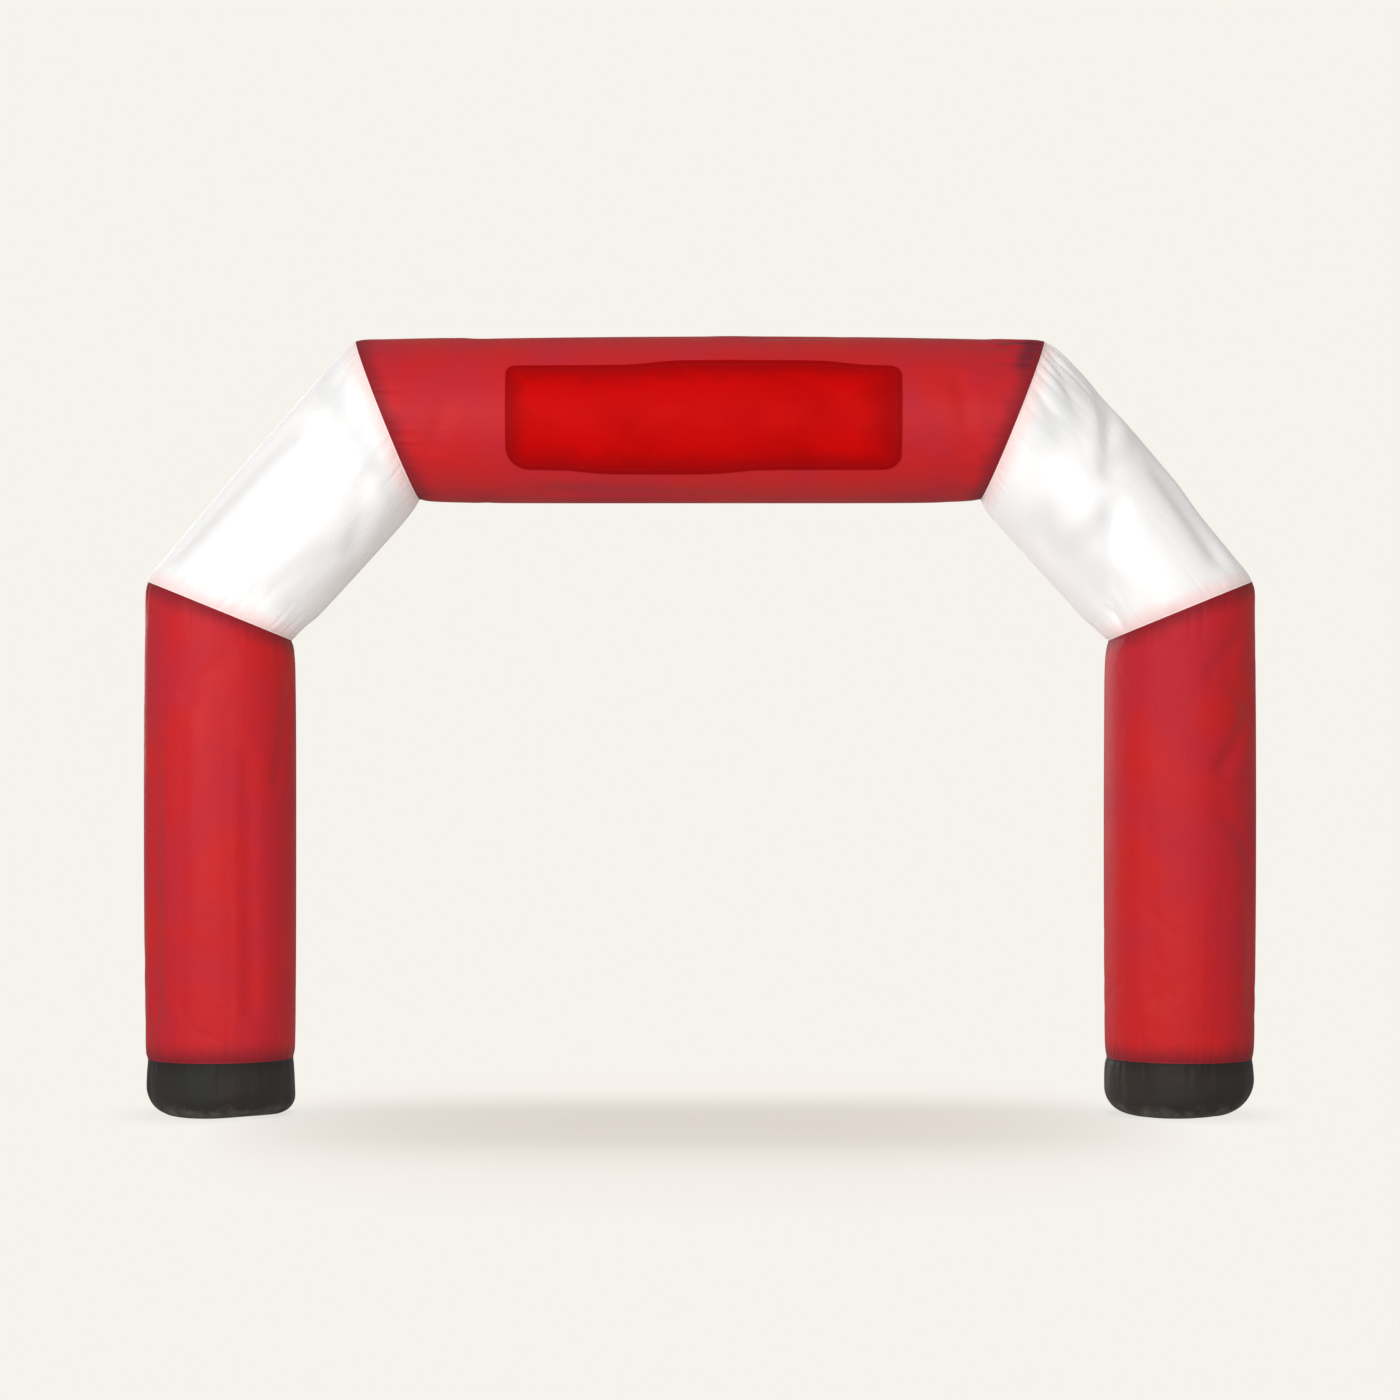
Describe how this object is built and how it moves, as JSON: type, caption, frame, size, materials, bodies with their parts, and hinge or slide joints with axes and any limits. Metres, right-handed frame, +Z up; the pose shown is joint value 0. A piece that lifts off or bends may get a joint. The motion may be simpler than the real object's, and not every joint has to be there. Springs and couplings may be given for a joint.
{
  "type": "inflatable arch",
  "caption": "Free-standing inflatable arch of blown-up cloth tubes: round legs on dark bases, slanting shoulders, and a level beam with a blank banner panel on its front.",
  "frame": {"origin": "on the ground, midway between the legs and midway through their depth", "axes": "+X along the span, towards the leg on the right as seen from the front; the front, with the banner panel, looks along -Y; +Z up"},
  "size_m": [6.0006, 0.891, 4.1904],
  "materials": {
    "red_cloth": "coated woven cloth, satin, stretched over air",
    "white_cloth": "coated woven cloth, satin, stretched over air",
    "black_cloth": "heavier coated cloth, dull, scuffed at the ground",
    "panel_cloth": "smooth banner cloth with a turned hem, plain"
  },
  "bodies": {
    "root": {"base_left": "black_cloth", "base_right": "black_cloth", "leg_left": "red_cloth", "leg_right": "red_cloth", "shoulder_left": "white_cloth", "shoulder_right": "white_cloth", "beam": "red_cloth", "banner_panel": "panel_cloth"}
  },
  "joints": []
}
